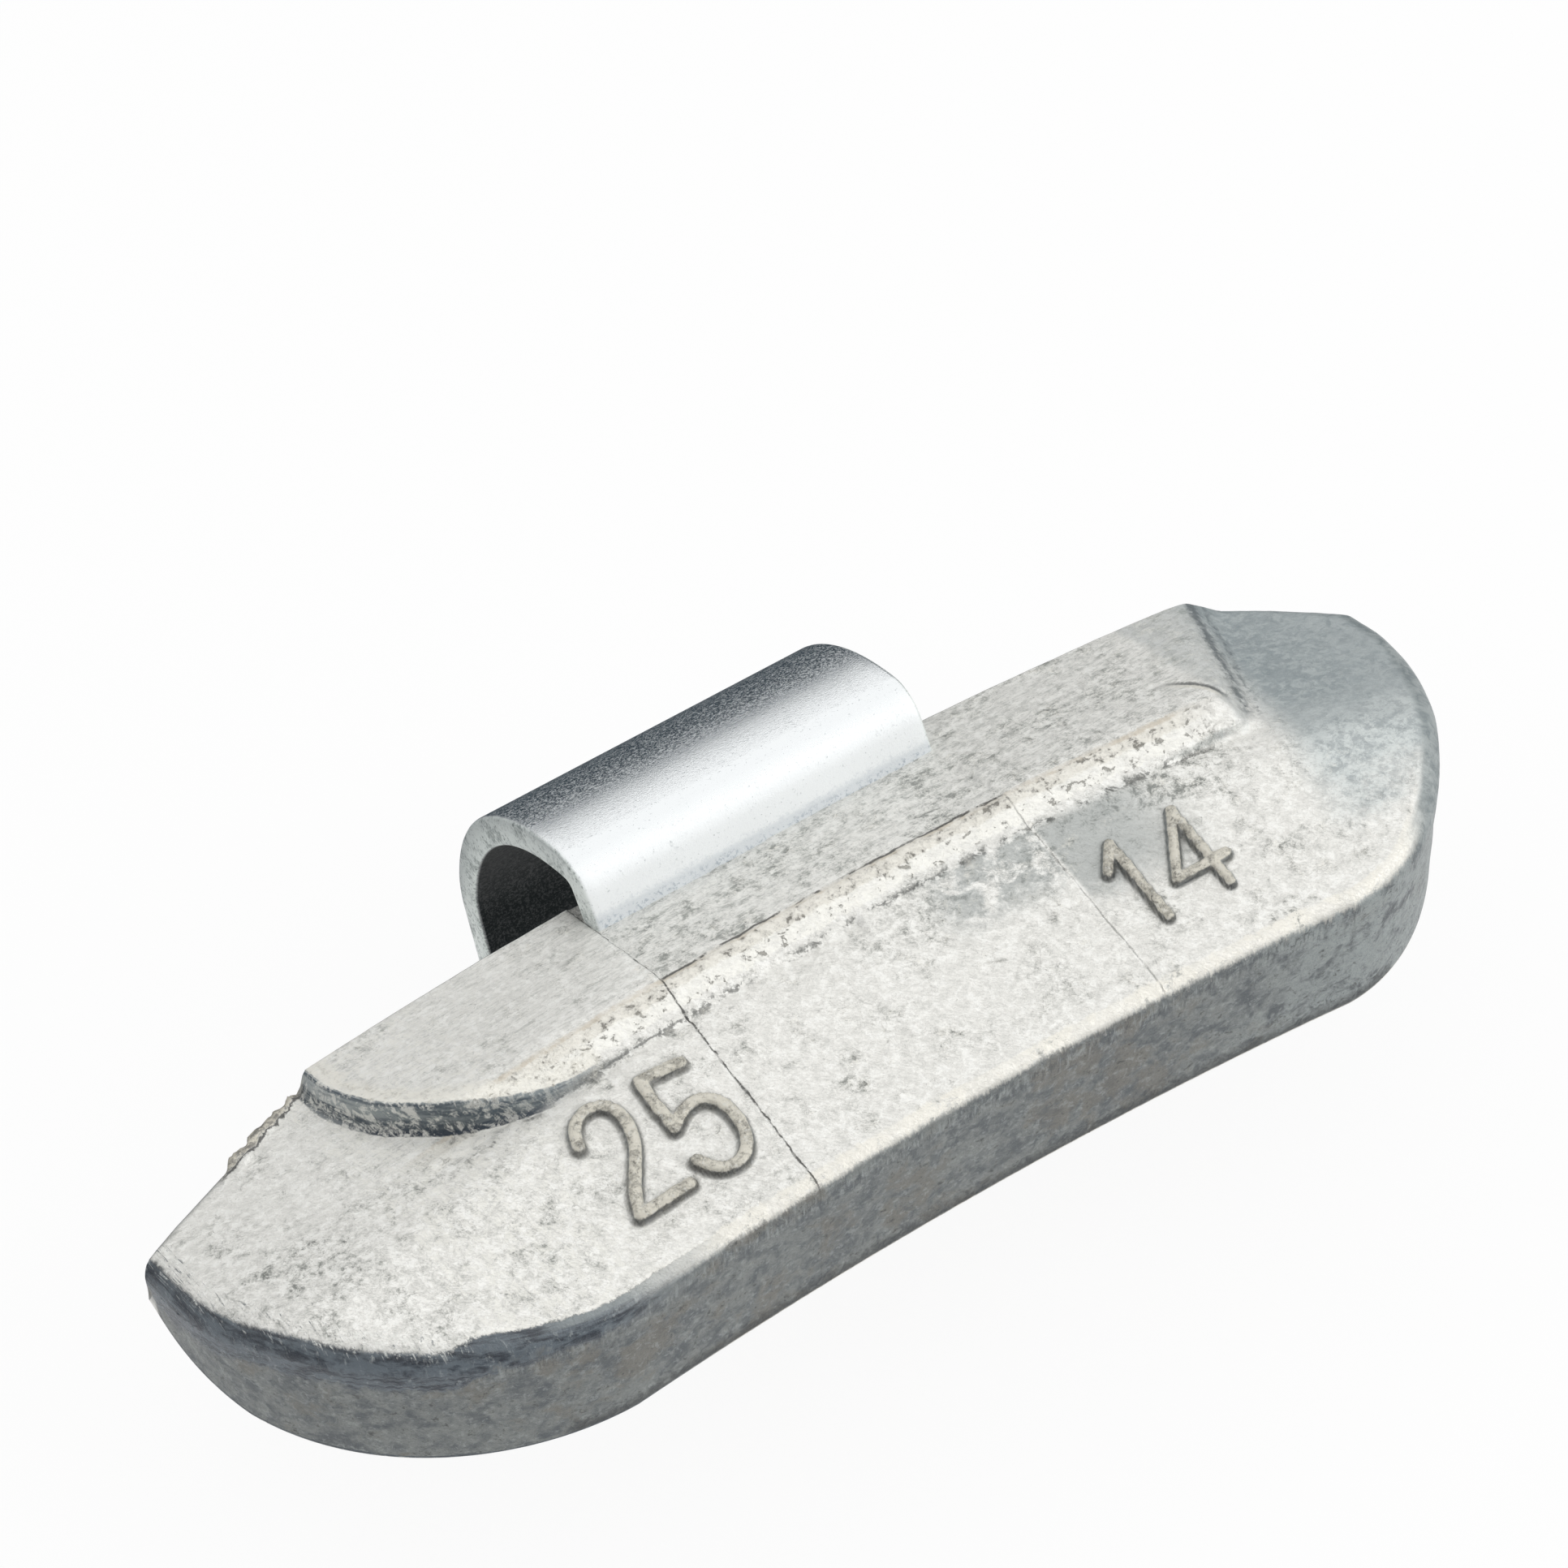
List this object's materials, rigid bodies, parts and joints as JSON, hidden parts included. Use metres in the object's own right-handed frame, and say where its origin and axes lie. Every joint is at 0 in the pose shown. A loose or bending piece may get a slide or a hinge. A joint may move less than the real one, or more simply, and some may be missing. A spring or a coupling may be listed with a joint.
{
  "type": "wheel balance weight",
  "caption": "Knock-on wheel balance weight: a cast zinc bar with a flat face, raised numbers, tapered ends and a steel hook clip that grips the rim flange.",
  "frame": {"origin": "middle of the clip's width, on the body's far wall where the rim's flange stands, at the level of the flat back", "axes": "+X along the bar, +Y from the bar towards the rim's edge, +Z out of the numbered face"},
  "size_m": [0.0488, 0.024, 0.0161],
  "materials": {
    "body": "as cast zinc, dull, mottled grey",
    "clip": "bright zinc plated spring steel"
  },
  "bodies": {
    "root": {"weight_body": "body", "clip": "clip"}
  },
  "joints": []
}
